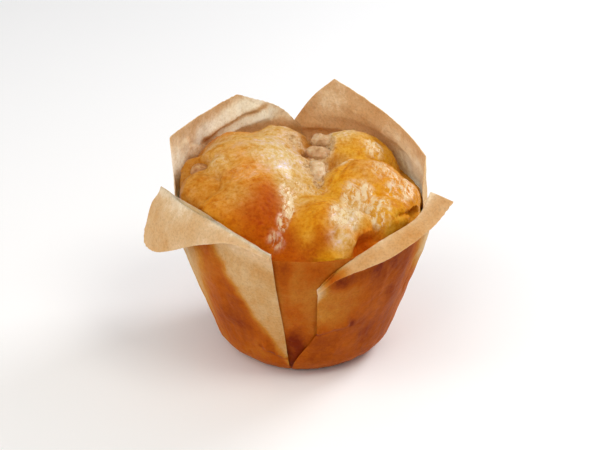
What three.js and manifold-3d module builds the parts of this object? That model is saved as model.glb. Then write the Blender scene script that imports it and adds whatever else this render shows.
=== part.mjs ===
// A glazed fruit muffin in a tulip wrapper of baking paper.
// Millimetres, +Z up. The origin is the middle of the base, and the front of the muffin faces -Y.
// Angles are in degrees round the Z axis, from the front (-Y) towards the right (+X).

import * as THREE from 'three';
import { mergeVertices } from 'three/addons/utils/BufferGeometryUtils.js';
import Module from 'manifold-3d';

const wasm = await Module();
wasm.setup();

// ---------- Driving dimensions ----------

// The wrapper's wall, shared by the inner cup and the four petals.
const footRadius = 21.6;           // flat disc that the muffin stands on
const footRise = 8;                // height of the rounded edge at the foot
const wallFootRadius = 26.6;       // radius that the straight wall would have at the table
const wallSlope = 0.34;            // how much the wall opens for each millimetre of height
const shoulderRadius = 42.3;       // radius where the wall stops opening
const shoulderBlend = 3;           // softness of the bend at the shoulder

// The paper, drawn thicker than real paper so that it is a sound solid.
const cupThickness = 0.8;
const cupHeight = 51.7;            // at the front, where its rim shows between two petals
const cupRimDrop = 7;              // how much lower its rim is at the back
const cupSides = 36;
const cupRowHeights = [0.5, footRise / 2, footRise, 30, 38, 44, cupHeight];
const petalThickness = 0.8;
const petalFootHeight = 1;
const flarePower = 4;              // the wall keeps straight, then flares out close to the crease
const foldShare = 0.45;            // the most that a fold takes up of a short lip
const archedLip = 15;              // length from which a lip arches fully

// The muffin, which fills the cup and domes over it.
const muffinInset = 1.1;           // from the nominal wall to the crumb
const muffinFloor = 1.15;          // underside of the crumb, just above the paper floor
const muffinShoulder = 51;         // height at which the side turns into the dome
const eyeHeight = 31;              // height of the point that sees the whole surface
const coreBlend = 4.5;             // softness of the join between the body and the dome
const rimBlend = 2.5;              // softness of the edge where the dome meets the paper
const fruitClearance = 0.35;       // room left round a piece of fruit

const mergeDistance = 1e-4;        // points closer than this are one

// ---------- Small helpers ----------

const radians = THREE.MathUtils.degToRad;
const { clamp, lerp, smoothstep } = THREE.MathUtils;

// A point from its angle round the axis, its radius and its height.
function polar(angle, radius, height) {
  return new THREE.Vector3(Math.sin(radians(angle)) * radius, -Math.cos(radians(angle)) * radius, height);
}

// The smaller of two numbers, rounded off where they are closer than the blend.
function softMin(a, b, blend) {
  const overlap = Math.max(blend - Math.abs(a - b), 0) / blend;
  return Math.min(a, b) - overlap * overlap * blend / 4;
}

// The distance between two points given as [x, y, z].
function gap(a, b) {
  return Math.hypot(a[0] - b[0], a[1] - b[1], a[2] - b[2]);
}

// The nominal radius of the wrapper's wall at a height.
function wallRadius(height) {
  const foot = Math.max(1 - height / footRise, 0);
  const cone = wallFootRadius + wallSlope * height - (wallFootRadius - footRadius) * foot * foot;
  return softMin(cone, shoulderRadius, shoulderBlend);
}

// Drops the triangles that merging has collapsed, such as those at a pole.
function cleaned(geometry) {
  const position = new THREE.BufferGeometry();
  position.setAttribute('position', geometry.getAttribute('position'));
  position.setIndex(geometry.getIndex());
  const merged = mergeVertices(position, mergeDistance);
  const index = merged.getIndex().array;
  const kept = [];
  for (let i = 0; i < index.length; i += 3) {
    const [a, b, c] = [index[i], index[i + 1], index[i + 2]];
    if (a !== b && b !== c && c !== a) kept.push(a, b, c);
  }
  merged.setIndex(kept);
  return merged;
}

function toSolid(geometry) {
  const merged = cleaned(geometry);
  return new wasm.Manifold(new wasm.Mesh({
    numProp: 3,
    vertProperties: Float32Array.from(merged.getAttribute('position').array),
    triVerts: Uint32Array.from(merged.getIndex().array),
  }));
}

function toGeometry(solid) {
  const mesh = solid.getMesh();
  const geometry = new THREE.BufferGeometry();
  geometry.setAttribute('position', new THREE.BufferAttribute(mesh.vertProperties, 3));
  geometry.setIndex(new THREE.BufferAttribute(mesh.triVerts, 1));
  geometry.computeVertexNormals();
  return geometry;
}

// A closed solid from a grid of points, rows[r][c], on the middle of a thin sheet.
// Columns run round the wrapper and rows run upwards, so that their cross product points outwards.
function sheetSolid(rows, thickness) {
  const rowCount = rows.length;
  const columnCount = rows[0].length;
  const at = (r, c) => rows[clamp(r, 0, rowCount - 1)][clamp(c, 0, columnCount - 1)];
  const positions = [];
  for (const side of [1, -1]) {
    for (let r = 0; r < rowCount; r++) {
      for (let c = 0; c < columnCount; c++) {
        const across = at(r, c + 1).clone().sub(at(r, c - 1));
        const up = at(r + 1, c).clone().sub(at(r - 1, c));
        const normal = across.cross(up).normalize();
        const point = at(r, c).clone().addScaledVector(normal, side * thickness / 2);
        positions.push(point.x, point.y, point.z);
      }
    }
  }
  const front = (r, c) => r * columnCount + c;
  const back = (r, c) => rowCount * columnCount + front(r, c);
  const index = [];
  const quad = (a, b, c, d) => index.push(a, b, c, a, c, d);
  for (let r = 0; r < rowCount - 1; r++) {
    for (let c = 0; c < columnCount - 1; c++) {
      quad(front(r, c), front(r, c + 1), front(r + 1, c + 1), front(r + 1, c));
      quad(back(r, c), back(r + 1, c), back(r + 1, c + 1), back(r, c + 1));
    }
  }
  const [top, end] = [rowCount - 1, columnCount - 1];
  for (let c = 0; c < end; c++) {
    quad(front(0, c), back(0, c), back(0, c + 1), front(0, c + 1));
    quad(front(top, c), front(top, c + 1), back(top, c + 1), back(top, c));
  }
  for (let r = 0; r < top; r++) {
    quad(front(r, 0), front(r + 1, 0), back(r + 1, 0), back(r, 0));
    quad(front(r, end), back(r, end), back(r + 1, end), front(r + 1, end));
  }
  const geometry = new THREE.BufferGeometry();
  geometry.setAttribute('position', new THREE.Float32BufferAttribute(positions, 3));
  geometry.setIndex(index);
  return toSolid(geometry);
}

// ---------- Wrapper ----------

// Each petal is lofted through stations, from its lower angle to its higher one.
// foot is the angle at the base. crease and edge are [angle, radius, height]: the crease is where the paper
// folds outwards, or on a standing petal where it leaves the muffin, and the edge is the cut edge of the
// sheet.
// columns is the number of steps to the next station, and bow curves the cut edge outwards on the way there.
// lift is how far the petal lies outside the nominal wall, foldRun is how much paper the fold takes up on
// each side of the crease, and bulge is how far the lip arches. A pleat swings the first side of the petal
// round by some degrees: not at all at its lowest height, fully at the next, and not at all at the crease.
const petals = {
  frontLeft: {
    lift: 0.4, foldRun: 1.7, bulge: 1.6,
    stations: [
      { foot: -96, crease: [-83, 46.2, 59.8], edge: [-80.5, 51.4, 45.2], columns: 2 },
      { foot: -88, crease: [-75, 44.6, 61.2], edge: [-76.5, 52.0, 41.8], columns: 2 },
      { foot: -78, crease: [-63, 42.8, 62], edge: [-68, 50.0, 42.4], columns: 3 },
      { foot: -52, crease: [-45, 42.0, 62.2], edge: [-44, 45.8, 53], columns: 3 },
      { foot: -30, crease: [-27, 43.2, 59.4], edge: [-28, 44.8, 56.6], columns: 3 },
      { foot: -8.5, crease: [-13, 43.6, 54.8], edge: [-13.6, 44.6, 53.2] },
    ],
  },
  frontRight: {
    lift: 0.6, foldRun: 1.5, bulge: 0.8,
    pleat: { swing: 8, from: 4, to: 21 },
    stations: [
      { foot: -8.5, crease: [6.4, 40.8, 41.2], edge: [6.2, 41.9, 39.8], columns: 2 },
      { foot: 8, crease: [12.8, 42.2, 47.4], edge: [13.6, 43.8, 45.2], columns: 2 },
      { foot: 24, crease: [20.8, 42.2, 51.2], edge: [20.2, 45.2, 48], columns: 3 },
      { foot: 42, crease: [36.5, 42.4, 56], edge: [34.6, 48.2, 52], columns: 3 },
      { foot: 66, crease: [54.5, 43.6, 58.8], edge: [53, 50.0, 57], columns: 2 },
      { foot: 76, crease: [59.5, 44.4, 62.2], edge: [59.5, 51.0, 59.6], columns: 1 },
      { foot: 86, crease: [62.5, 45.0, 65.4], edge: [64.4, 52.4, 62.6] },
    ],
  },
  backRight: {
    lift: 0.35, foldRun: 3, bulge: 0,
    stations: [
      { foot: 72, crease: [74, 40.8, 43.2], edge: [77, 41.6, 47.7], columns: 2 },
      { foot: 88, crease: [88, 42.1, 47.2], edge: [88, 40.8, 56.2], columns: 2 },
      { foot: 98, crease: [97, 42.0, 51.2], edge: [98, 40.8, 64.8], columns: 7, bow: 3.4 },
      { foot: 160, crease: [163, 42.0, 53.2], edge: [164.5, 40.0, 78.4], columns: 2 },
      { foot: 170, crease: [176, 42.8, 52.0], edge: [176, 41.8, 70.0], columns: 2 },
      { foot: 179, crease: [187, 43.6, 50.2], edge: [186, 44.2, 58.2] },
    ],
  },
  backLeft: {
    lift: 0.2, foldRun: 3, bulge: 0,
    stations: [
      { foot: 170, crease: [180, 41.8, 49.2], edge: [181, 42.4, 58.7], columns: 2 },
      { foot: 186, crease: [191, 42.2, 52.2], edge: [191.5, 43.0, 66.5], columns: 2 },
      { foot: 205, crease: [209, 42.4, 53.2], edge: [211.5, 43.0, 73.6], columns: 5, bow: 1.0 },
      { foot: 254, crease: [259, 42.4, 53.2], edge: [260, 44.4, 71], columns: 2 },
      { foot: 268, crease: [270, 42.4, 48.2], edge: [267, 42.2, 55.2] },
    ],
  },
};
const wallShares = [0, 0.47, 0.64, 0.79];  // of the way up the wall, closer together at the shoulder
const foldRows = 3;
const lipRows = 2;

// The inner cup: a turned shell with a flat floor, open at the top and cut off on the slant.
function buildCup() {
  const outer = [];
  const inner = [];
  for (const height of cupRowHeights) {
    const middle = wallRadius(height);
    outer.push(new THREE.Vector2(middle + cupThickness / 2, height));
    inner.unshift(new THREE.Vector2(middle - cupThickness / 2, Math.max(height, cupThickness)));
  }
  const floor = [new THREE.Vector2(0, 0), new THREE.Vector2(footRadius, 0)];
  const profile = [...floor, ...outer, ...inner, new THREE.Vector2(0, cupThickness)];
  const cup = toSolid(new THREE.LatheGeometry(profile, cupSides).rotateX(Math.PI / 2));
  const slant = new THREE.Vector3(0, -cupRimDrop, -2 * shoulderRadius).normalize();
  const frontRim = new THREE.Vector3(0, -shoulderRadius, cupHeight);
  return cup.trimByPlane([...slant], slant.dot(frontRim));
}

// How far a pleat has swung the side of its petal at a height.
function pleatSwing(pleat, height, creaseHeight) {
  const opened = smoothstep(height, pleat.from, pleat.to);
  const closed = (height - pleat.to) / (creaseHeight - pleat.to);
  return pleat.swing * opened * (1 - Math.max(closed, 0));
}

// The points of one column of a petal, from its foot to its cut edge.
function petalColumn(petal, { foot, crease, edge, pleatShare }) {
  const [creaseAngle, creaseRadius, creaseHeight] = crease;
  const outset = creaseRadius - wallRadius(creaseHeight);
  const wallPoint = (height) => {
    const rise = (height - petalFootHeight) / (creaseHeight - petalFootHeight);
    const swing = petal.pleat ? pleatShare * pleatSwing(petal.pleat, height, creaseHeight) : 0;
    const radius = wallRadius(height) + petal.lift + outset * rise ** flarePower;
    return polar(lerp(foot, creaseAngle, rise) + swing, radius, height);
  };
  const wallTop = creaseHeight - petal.foldRun;
  const creasePoint = polar(...crease);
  const lip = edge.clone().sub(creasePoint);
  const lipLength = lip.length();
  const lipStart = creasePoint.clone().addScaledVector(lip, Math.min(petal.foldRun / lipLength, foldShare));
  const fold = new THREE.QuadraticBezierCurve3(wallPoint(wallTop), creasePoint, lipStart);
  const outward = new THREE.Vector3(edge.x, edge.y, 0).normalize();
  const arch = petal.bulge * Math.min(lipLength / archedLip, 1);

  const points = [wallPoint(petalFootHeight), wallPoint(footRise / 2)];
  for (const share of wallShares) points.push(wallPoint(lerp(footRise, wallTop, share)));
  for (let row = 0; row < foldRows; row++) points.push(fold.getPoint(row / foldRows));
  for (let row = 0; row <= lipRows; row++) {
    const share = row / lipRows;
    const point = lipStart.clone().lerp(edge, share);
    points.push(point.addScaledVector(outward, arch * Math.sin(Math.PI * share)));
  }
  return points;
}

function buildPetal(petal) {
  const columns = [];
  for (let i = 0; i < petal.stations.length - 1; i++) {
    const [station, next] = [petal.stations[i], petal.stations[i + 1]];
    const isLast = i === petal.stations.length - 2;
    for (let c = 0; c < station.columns + (isLast ? 1 : 0); c++) {
      const share = c / station.columns;
      const edge = polar(...station.edge).lerp(polar(...next.edge), share);
      const outward = new THREE.Vector3(edge.x, edge.y, 0).normalize();
      edge.addScaledVector(outward, (station.bow ?? 0) * Math.sin(Math.PI * share));
      columns.push(petalColumn(petal, {
        foot: lerp(station.foot, next.foot, share),
        crease: station.crease.map((value, k) => lerp(value, next.crease[k], share)),
        edge,
        pleatShare: i === 0 ? 1 - share : 0,
      }));
    }
  }
  const rows = columns[0].map((_, r) => columns.map((column) => column[r]));
  return sheetSolid(rows, petalThickness);
}

// Cup and petals as one body, without the pockets that would be sealed in between two layers.
function buildWrapper() {
  let solid = buildCup();
  for (const petal of Object.values(petals)) solid = solid.add(buildPetal(petal));
  const shells = solid.decompose().sort((a, b) => b.volume() - a.volume());
  return toGeometry(shells[0]);
}

// ---------- Muffin ----------

// The lumps that make up the dome: centre and half sizes as [x, y, z], and how softly each joins the rest.
const core = { centre: [-1, 1, 43.2], size: [39.5, 39.5, 18] };
const lobes = [
  { centre: [-17.5, 3, 51.2], size: [21.5, 25, 19.5], blend: 5 },     // the big lobe on the left
  { centre: [-17, -17, 50.2], size: [18.5, 20.5, 17], blend: 5 },     // its browned front
  { centre: [-9, 21, 50.2], size: [15, 15, 17.2], blend: 4 },         // its back
  { centre: [-23.5, 14.5, 52.2], size: [13.2, 13.5, 16], blend: 3 },  // its back, on the left
  { centre: [-35.5, 4.5, 55.7], size: [5.5, 9, 8], blend: 2 },        // left edge, behind the small hollow
  { centre: [16, 18, 51.2], size: [16.5, 14.5, 16], blend: 3 },       // back right
  { centre: [20, -6, 50.2], size: [17, 16.5, 17.5], blend: 3 },       // right
  { centre: [6, -25, 49.2], size: [13.5, 15, 14], blend: 4 },         // front
  { centre: [16.5, -29, 55.7], size: [5.5, 6, 6.5], blend: 2.5 },     // the drop of batter above the hollow
  { centre: [12, -36, 53.2], size: [4.5, 4.5, 8], blend: 2.5 },       // the run of batter at the front
  { centre: [27, -22, 54.2], size: [8, 8.5, 8.5], blend: 2.5 },       // front right
  { centre: [33, -10, 54.2], size: [5.5, 10, 8], blend: 3 },          // right edge
  { centre: [-33, -9, 56.2], size: [8, 9.5, 8.5], blend: 2.5 },       // left edge
  { centre: [-27, -26, 55.7], size: [9, 8.5, 9], blend: 3 },          // left edge, towards the front
];

// The hollows in it, cut out in the same way.
const hollows = [
  { centre: [4, 25, 68.7], size: [4.4, 7, 5], blend: 2 },             // the crater, from its back
  { centre: [4.5, 15.5, 68.2], size: [6, 8.5, 7.5], blend: 2 },
  { centre: [5, 5.5, 67.2], size: [5, 8, 7.5], blend: 2 },
  { centre: [5.2, -4, 66.2], size: [2.2, 6, 5.5], blend: 2 },         // to its narrow front
  { centre: [20.5, -36, 52.3], size: [4.8, 5, 5.5], blend: 2 },       // the hollow under the drop
  { centre: [36, -19, 54.7], size: [5, 5, 2], blend: 1.5 },           // the crack at the right edge
  { centre: [-35.5, 0.5, 65.7], size: [5, 4.5, 4.5], blend: 2 },      // the hollow with fruit at the left edge
];

// The pieces of fruit that show, as blocky lumps that are tipped towards the front, rolled to the right and then
// turned round the Z axis.
const fruit = {
  fruit_chunk_front: { centre: [4.6, 3, 58.5], size: [3.6, 6.2, 4.2], turn: 4, tip: 8, roll: 0 },
  fruit_chunk_middle: { centre: [6.2, 13.9, 60], size: [5.4, 3.3, 4.2], turn: -16, tip: 12, roll: 12 },
  fruit_chunk_back: { centre: [7.1, 20.9, 62.3], size: [4.2, 2.6, 3.3], turn: -8, tip: 14, roll: 0 },
  fruit_chunk_left: { centre: [-33.2, 0.8, 60.8], size: [3.6, 4, 3.4], turn: 20, tip: 0, roll: 0 },
};
const fruitSquareness = 2.8;       // 2 is an ellipsoid, and more is blockier
const fruitColumns = 14;
const fruitRows = 9;
const muffinColumns = 116;
const bodyRows = 5;
const domeRows = 26;
const bodyTop = 47;                // height of the last row of the body, below the shoulder
const sightStart = 18;             // nearer to the eye than any point of the surface
const sightStep = 0.8;
const halvings = 20;

// Roughly the distance from a point to an ellipsoid, negative inside it.
function ellipsoidDistance(point, { centre, size }) {
  const scaled = [0, 1, 2].map((k) => (point[k] - centre[k]) / size[k]);
  const length = Math.hypot(...scaled);
  const slope = Math.hypot(...scaled.map((value, k) => value / size[k]));
  return slope > 1e-9 ? length * (length - 1) / slope : -Math.min(...size);
}

// Distance to the body that the wrapper holds, up to the shoulder.
function bodyDistance([x, y, z]) {
  const side = Math.hypot(x, y) - (wallRadius(Math.max(z, 0)) - muffinInset);
  return Math.max(side, muffinFloor - z, z - muffinShoulder);
}

function muffinDistance(point) {
  let distance = softMin(bodyDistance(point), ellipsoidDistance(point, core), coreBlend);
  for (const lobe of lobes) distance = softMin(distance, ellipsoidDistance(point, lobe), lobe.blend);
  for (const hollow of hollows) {
    distance = -softMin(-distance, ellipsoidDistance(point, hollow), hollow.blend);
  }
  const fits = Math.hypot(point[0], point[1]) - (wallRadius(Math.max(point[2], 0)) - muffinInset);
  return Math.max(-softMin(-distance, -fits, rimBlend), muffinFloor - point[2]);
}

// The first surface point that the eye meets at a turn round the axis and a tilt above the level: found in
// steps, and then by halving the last one.
function muffinPoint(turn, tilt) {
  const ray = [Math.sin(turn) * Math.cos(tilt), -Math.cos(turn) * Math.cos(tilt), Math.sin(tilt)];
  const pointAt = (distance) => [ray[0] * distance, ray[1] * distance, eyeHeight + ray[2] * distance];
  let far = sightStart;
  while (muffinDistance(pointAt(far)) < 0) far += sightStep;
  let near = far - sightStep;
  for (let step = 0; step < halvings; step++) {
    const middle = (near + far) / 2;
    if (muffinDistance(pointAt(middle)) < 0) near = middle;
    else far = middle;
  }
  return pointAt(near);
}

function buildMuffin() {
  const cornerRadius = wallRadius(muffinFloor) - muffinInset;
  const corner = -Math.atan2(eyeHeight - muffinFloor, cornerRadius);
  const shoulder = Math.atan2(bodyTop - eyeHeight, shoulderRadius);
  const tilts = [];
  for (let row = 0; row <= bodyRows; row++) tilts.push(lerp(corner, shoulder, row / bodyRows));
  for (let row = 1; row < domeRows; row++) tilts.push(lerp(shoulder, Math.PI / 2, row / domeRows));
  const points = [muffinPoint(0, -Math.PI / 2)];
  for (const tilt of tilts) {
    for (let c = 0; c < muffinColumns; c++) points.push(muffinPoint(c / muffinColumns * 2 * Math.PI, tilt));
  }
  points.push(muffinPoint(0, Math.PI / 2));
  const last = points.length - 1;
  const index = [];
  // A four-sided face, split along its shorter diagonal so that ridges stay even.
  const quad = (a, b, c, d) => {
    if (gap(points[a], points[c]) < gap(points[b], points[d])) index.push(a, b, c, a, c, d);
    else index.push(a, b, d, b, c, d);
  };
  const at = (row, c) => 1 + row * muffinColumns + c % muffinColumns;
  for (let c = 0; c < muffinColumns; c++) {
    index.push(0, at(0, c + 1), at(0, c));
    for (let row = 0; row < tilts.length - 1; row++) {
      quad(at(row, c), at(row, c + 1), at(row + 1, c + 1), at(row + 1, c));
    }
    index.push(last, at(tilts.length - 1, c), at(tilts.length - 1, c + 1));
  }
  const geometry = new THREE.BufferGeometry();
  geometry.setAttribute('position', new THREE.Float32BufferAttribute(points.flat(), 3));
  geometry.setIndex(index);
  let solid = toSolid(geometry);
  for (const piece of Object.values(fruit)) {
    solid = solid.subtract(toSolid(buildFruit(piece, fruitClearance)));
  }
  return toGeometry(solid);
}

// ---------- Fruit ----------

// A rounded block: a sphere whose points are pushed out towards the corners of its box.
function buildFruit({ centre, size, turn, tip, roll }, clearance = 0) {
  const geometry = new THREE.SphereGeometry(1, fruitColumns, fruitRows);
  const position = geometry.getAttribute('position');
  const halfSizes = new THREE.Vector3(...size).addScalar(clearance);
  const point = new THREE.Vector3();
  for (let i = 0; i < position.count; i++) {
    point.fromBufferAttribute(position, i);
    const powers = [...point].map((value) => Math.abs(value) ** fruitSquareness);
    point.multiplyScalar((powers[0] + powers[1] + powers[2]) ** (-1 / fruitSquareness));
    position.setXYZ(i, ...point.multiply(halfSizes));
  }
  geometry.rotateX(radians(tip)).rotateY(radians(roll)).rotateZ(radians(turn)).translate(...centre);
  return geometry;
}

// ---------- The whole muffin ----------

const muffin = new THREE.Group();

function addPart(name, geometry, material) {
  const mesh = new THREE.Mesh(geometry, new THREE.MeshStandardMaterial({ metalness: 0, ...material }));
  mesh.name = name;
  muffin.add(mesh);
}

addPart('muffin', buildMuffin(), { color: '#d9963f', roughness: 0.35 });
for (const [name, piece] of Object.entries(fruit)) {
  addPart(name, toGeometry(toSolid(buildFruit(piece))), { color: '#d8b48c', roughness: 0.3 });
}
addPart('paper_case', buildWrapper(), { color: '#c08a55', roughness: 0.8 });

export default muffin;
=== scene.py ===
import math
import bpy
import numpy as np
from mathutils import Euler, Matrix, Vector, noise


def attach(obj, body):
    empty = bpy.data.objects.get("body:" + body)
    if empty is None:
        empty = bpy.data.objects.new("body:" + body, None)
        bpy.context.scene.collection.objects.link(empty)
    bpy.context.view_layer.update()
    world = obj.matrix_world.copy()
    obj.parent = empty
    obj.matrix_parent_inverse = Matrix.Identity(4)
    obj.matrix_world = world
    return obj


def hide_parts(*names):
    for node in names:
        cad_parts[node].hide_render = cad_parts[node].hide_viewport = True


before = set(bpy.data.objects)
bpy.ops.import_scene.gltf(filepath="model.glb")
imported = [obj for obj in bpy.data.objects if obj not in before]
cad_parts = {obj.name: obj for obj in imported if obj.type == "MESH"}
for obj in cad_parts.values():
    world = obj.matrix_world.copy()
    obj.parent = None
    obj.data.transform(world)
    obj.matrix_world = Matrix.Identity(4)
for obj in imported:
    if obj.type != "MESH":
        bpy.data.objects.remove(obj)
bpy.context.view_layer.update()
scene = bpy.context.scene
mm = 0.001  # every shape below is worked out in millimetres, and made in metres
print("frame loaded")


# colours and nodes

def linearColour(code):
    channels = [int(code[i:i + 2], 16) / 255 for i in (1, 3, 5)]
    return [c / 12.92 if c <= 0.04045 else ((c + 0.055) / 1.055) ** 2.4 for c in channels]


def addNode(tree, kind, settings=None, links=None):
    node = tree.nodes.new(kind)
    for name, value in (settings or {}).items():
        if isinstance(name, int) or name in node.inputs:
            node.inputs[name].default_value = value
        else:
            setattr(node, name, value)
    for name, socket in (links or {}).items():
        tree.links.new(socket, node.inputs[name])
    return node


def newMaterial(name, settings):
    material = bpy.data.materials.new(name)
    material.use_nodes = True
    tree = material.node_tree
    shader = tree.nodes["Principled BSDF"]
    for socket, value in settings.items():
        shader.inputs[socket].default_value = value
    return material, tree, shader


def feed(tree, socket, entry):
    # entry is a socket to link, a colour or a number
    if isinstance(entry, bpy.types.NodeSocket):
        tree.links.new(entry, socket)
    elif isinstance(entry, (int, float)):
        socket.default_value = entry
    else:
        socket.default_value = (*entry, 1)


def mixColour(tree, blend, share, first, second):
    node = addNode(tree, "ShaderNodeMix", {"data_type": "RGBA", "blend_type": blend})
    for index, entry in ((0, share), (6, first), (7, second)):
        feed(tree, node.inputs[index], entry)
    return node.outputs[2]


def mixValue(tree, share, first, second):
    node = addNode(tree, "ShaderNodeMix")
    for index, entry in enumerate((share, first, second)):
        feed(tree, node.inputs[("Factor", "A", "B")[index]], entry)
    return node.outputs["Result"]


def compute(tree, operation, *entries):
    node = addNode(tree, "ShaderNodeMath", {"operation": operation})
    for index, entry in enumerate(entries):
        feed(tree, node.inputs[index], entry)
    return node.outputs["Value"]


def colourRamp(tree, source, stops):
    node = addNode(tree, "ShaderNodeValToRGB", links={"Fac": source})
    elements = node.color_ramp.elements
    while len(elements) < len(stops):
        elements.new(0.5)
    for element, (position, colour) in zip(elements, stops):
        element.position = position
        element.color = (*(linearColour(colour) if isinstance(colour, str) else colour), 1)
    return node.outputs["Color"]


def objectPlace(tree):
    return addNode(tree, "ShaderNodeTexCoord").outputs["Object"]


def stored(tree, name, output="Fac"):
    return addNode(tree, "ShaderNodeAttribute", {"attribute_name": name}).outputs[output]


def stretched(tree, place, scale):
    return addNode(tree, "ShaderNodeMapping", {"Scale": scale}, {"Vector": place}).outputs["Vector"]


def noiseValue(tree, place, scale, detail, roughness=0.5, distortion=0.0):
    settings = {"Scale": scale, "Detail": detail, "Roughness": roughness, "Distortion": distortion}
    return addNode(tree, "ShaderNodeTexNoise", settings, {"Vector": place}).outputs["Fac"]


def remap(tree, value, low, high, newLow=0.0, newHigh=1.0):
    settings = {"From Min": low, "From Max": high, "To Min": newLow, "To Max": newHigh}
    return addNode(tree, "ShaderNodeMapRange", settings, {"Value": value}).outputs["Result"]


def bumped(tree, height, strength, distance, under=None):
    links = {"Height": height}
    if under:
        links["Normal"] = under
    settings = {"Strength": strength, "Distance": distance}
    return addNode(tree, "ShaderNodeBump", settings, links).outputs["Normal"]


# shapes

def polar(angle, radius, height):
    turn = np.radians(angle)
    return np.stack([np.sin(turn) * radius, -np.cos(turn) * radius, height + 0 * turn], -1)


def smoothStep(low, high, value):
    share = np.clip((value - low) / (high - low), 0, 1)
    return share * share * (3 - 2 * share)


def softMin(a, b, blend):
    overlap = np.maximum(blend - np.abs(a - b), 0) / blend
    return np.minimum(a, b) - overlap * overlap * blend / 4


def noiseAt(points, size, octaves=1, shift=0.0):
    # a number from about -1 to 1 for each point, for lumps of that size in millimetres
    offset = Vector((shift, 1.7 * shift, -2.3 * shift))
    flat = points.reshape(-1, 3) / size
    if octaves == 1:
        values = [noise.noise(Vector(p) + offset) for p in flat]
    else:
        values = [noise.fractal(Vector(p) + offset, 0.9, 2.1, octaves) for p in flat]
    return np.array(values).reshape(points.shape[:-1])


def nearness(points, place, reach):
    # 1 at the place, falling off softly over the reach
    offset = (points - np.array(place)) / np.array(reach, float)
    return np.exp(-(offset**2).sum(-1))


def nearPath(points, path, towards=(0, 0, 1)):
    # distance from the path, how far to the side that is asked for, and the share of the path run
    best = np.full(points.shape[:-1], 1e9)
    side, along = np.zeros(best.shape), np.zeros(best.shape)
    for index, (start, end) in enumerate(zip(path, path[1:])):
        start, run = np.array(start, float), np.array(end, float) - start
        share = np.clip(((points - start) @ run) / (run @ run), 0, 1)
        offset = points - start - share[..., None] * run
        distance = np.linalg.norm(offset, axis=-1)
        closer = distance < best
        best = np.where(closer, distance, best)
        side = np.where(closer, offset @ np.array(towards, float), side)
        along = np.where(closer, (index + share) / (len(path) - 1), along)
    return best, side, along


def gridNormals(points, wrap=False):
    # the normal at each point of a grid, rows by columns, pointing to the side where columns cross rows
    if wrap:
        across = np.roll(points, -1, 1) - np.roll(points, 1, 1)
    else:
        across = np.gradient(points, axis=1)
    normal = np.cross(across, np.gradient(points, axis=0))
    return normal / np.maximum(np.linalg.norm(normal, axis=-1, keepdims=True), 1e-9)


def closedFaces(rows, columns):
    # quads round a closed grid, and two fans: to a point above its last row and one below its first
    count = rows * columns
    last = count - columns
    faces = []
    for r in range(rows - 1):
        for c in range(columns):
            d = (c + 1) % columns
            a, b = r * columns, (r + 1) * columns
            faces.append((a + c, a + d, b + d, b + c))
    for c in range(columns):
        d = (c + 1) % columns
        faces += [(last + c, last + d, count), (d, c, count + 1)]
    return faces


def meshObject(name, vertices, faces, attributes):
    mesh = bpy.data.meshes.new(name)
    mesh.from_pydata((np.asarray(vertices) * mm).tolist(), [], faces)
    for label, values in attributes.items():
        values = np.asarray(values)
        if values.ndim == 2:
            layer = mesh.attributes.new(label, "FLOAT_COLOR", "POINT")
            layer.data.foreach_set("color", np.column_stack([values, np.ones(len(values))]).ravel())
        else:
            layer = mesh.attributes.new(label, "FLOAT", "POINT")
            layer.data.foreach_set("value", values.ravel())
    mesh.shade_smooth()
    mesh.set_sharp_from_angle(angle=math.radians(50))
    thing = bpy.data.objects.new(name, mesh)
    scene.collection.objects.link(thing)
    return thing


# camera

view = {
    "target": (-1.0, 0.0, 42.2),
    "elevation": 28,
    "distance": 600,
    "lens": 108,
}


def makeCamera():
    camera = bpy.data.objects.new("camera", bpy.data.cameras.new("camera"))
    camera.data.lens = view["lens"]
    camera.data.sensor_width = 36
    tilt = math.radians(view["elevation"])
    away = Vector((0, -math.cos(tilt), math.sin(tilt))) * view["distance"]
    camera.location = (Vector(view["target"]) + away) * mm
    camera.rotation_euler = (math.pi / 2 - tilt, 0, 0)
    camera.data.clip_start = 0.01
    scene.collection.objects.link(camera)
    scene.camera = camera


makeCamera()


# wrapper: one folded sheet of baking paper, drawn as a cup with four petals round it
# a station is a column of a petal, as (angle of its foot, crease where it leaves the muffin, its end at the
# cut edge of the sheet, span to the next station), with crease and end as (angle, radius, height)

wrapper = {
    "footRadius": 21.6,
    "footRise": 8,
    "wallFootRadius": 26.6,
    "wallSlope": 0.34,
    "shoulderRadius": 42.3,
    "shoulderBlend": 3,
    "thickness": 0.22,
    "petalFoot": 0.6,
    "cupHeight": 51.7,
    "cupRimDrop": 7,
    "cupColumns": 240,
    "footRows": 10,
    "cupRows": 56,
    "floorInset": 0.2,
    "spanWidth": 6.2,      # millimetres in a span of 1, along the widest part
    "columnWidth": 0.75,
    "wallRows": 44,
    "foldRows": 9,
    "lipRows": 40,
    "crumple": 0.35,       # depth of the soft dents in the wall
    "toothPitch": 2.2,     # of the sheet's saw-cut edges
    "toothDepth": 0.3,
    "archedFrom": 15,      # length of a lip that has its full arch
    "foldShare": 0.45,     # most of a lip that its fold takes up
    "palestShare": -0.3,      # lowest share of grease, paler than dry paper; the palest shares paint highlights and grazing sheen
    # the wall is pressed in at the right, where a back petal leans over the muffin
    "press": {"depth": 1.9, "angle": 84, "width": 18, "from": 39, "to": 46},
}

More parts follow.
